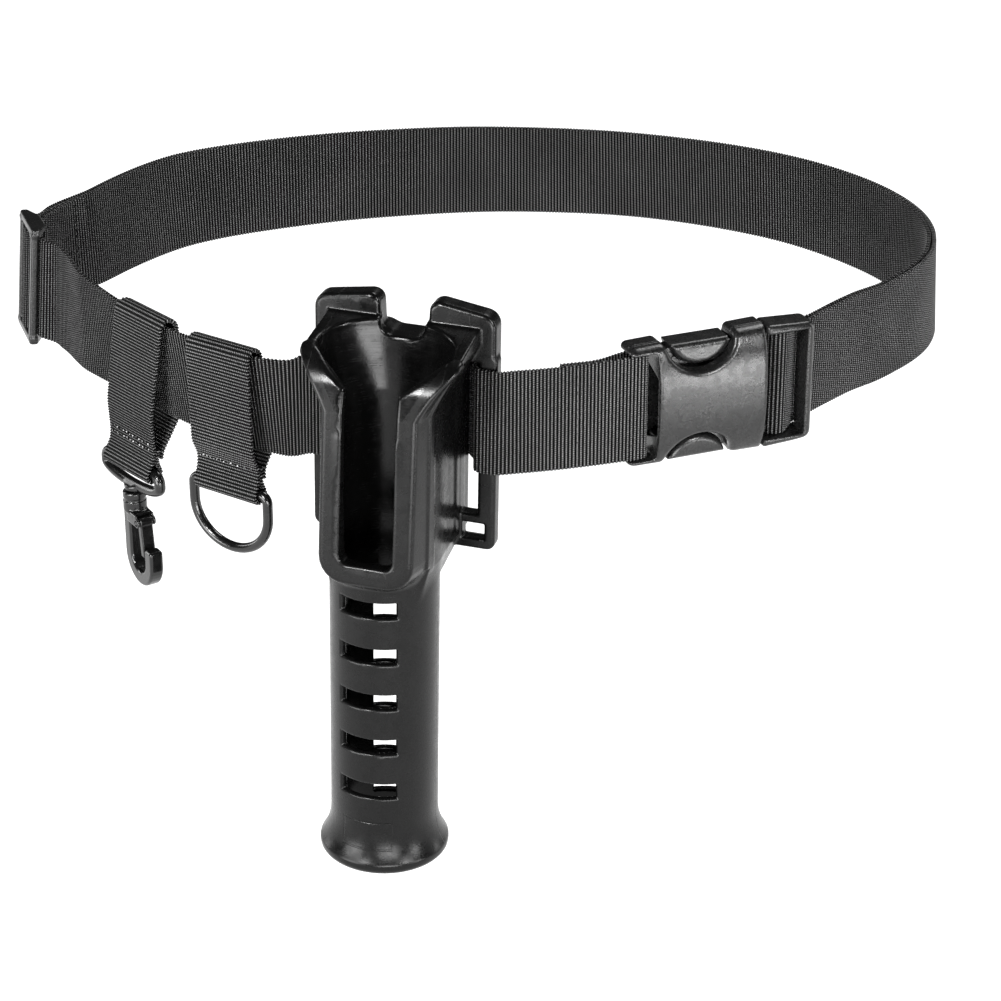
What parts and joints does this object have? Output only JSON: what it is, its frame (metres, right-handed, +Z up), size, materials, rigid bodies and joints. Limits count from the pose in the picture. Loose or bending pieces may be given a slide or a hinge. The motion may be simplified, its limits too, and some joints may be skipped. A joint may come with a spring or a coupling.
{
  "type": "fishing fighting belt",
  "caption": "Webbing waist belt with a moulded open-front rod holster, side release buckle, strap slider, hanging D ring and swivel snap hook.",
  "frame": {"origin": "middle of the waist loop at half the height of the webbing", "axes": "+Z up as worn, -Y to the wearer's front, +X to the left as the wearer sees it, from the holster towards the buckle"},
  "size_m": [0.3435, 0.284, 0.2007],
  "materials": {
    "webbing": "ribbed woven black webbing",
    "moulding": "black injection moulding, satin outside and smooth inside",
    "acetal": "fine grained black moulding"
  },
  "bodies": {
    "belt": {"main_strap": "webbing", "slider": "acetal", "rod_holster": "moulding", "buckle_socket": "acetal", "buckle_plug": "acetal", "ring_keeper": "webbing", "hook_keeper": "webbing"},
    "ring": {"d_ring": "acetal"},
    "eye": {"hook_eye": "acetal"},
    "hook": {"hook_body": "acetal"},
    "gate": {"hook_gate": "acetal"}
  },
  "joints": [
    {"name": "ring_hinge", "type": "hinge", "parent": "belt", "child": "ring", "pos_m": [-0.08624, -0.09356, -0.03799], "axis": [-0.8234, 0.5674, 0], "range_deg": [-75, 75]},
    {"name": "eye_hinge", "type": "hinge", "parent": "belt", "child": "eye", "pos_m": [-0.12425, -0.05984, -0.04506], "axis": [-0.656, 0.7547, 0], "range_deg": [-60, 60]},
    {"name": "hook_swivel", "type": "hinge", "parent": "eye", "child": "hook", "pos_m": [-0.12425, -0.05984, -0.05906], "axis": [0, 0, 1], "continuous": true},
    {"name": "gate_hinge", "type": "hinge", "parent": "hook", "child": "gate", "pos_m": [-0.12023, -0.06629, -0.06541], "axis": [0.848, 0.5299, 0], "range_deg": [0, 25], "stiffness_Nm_per_rad": 0.02, "springref_deg": -17.19}
  ]
}
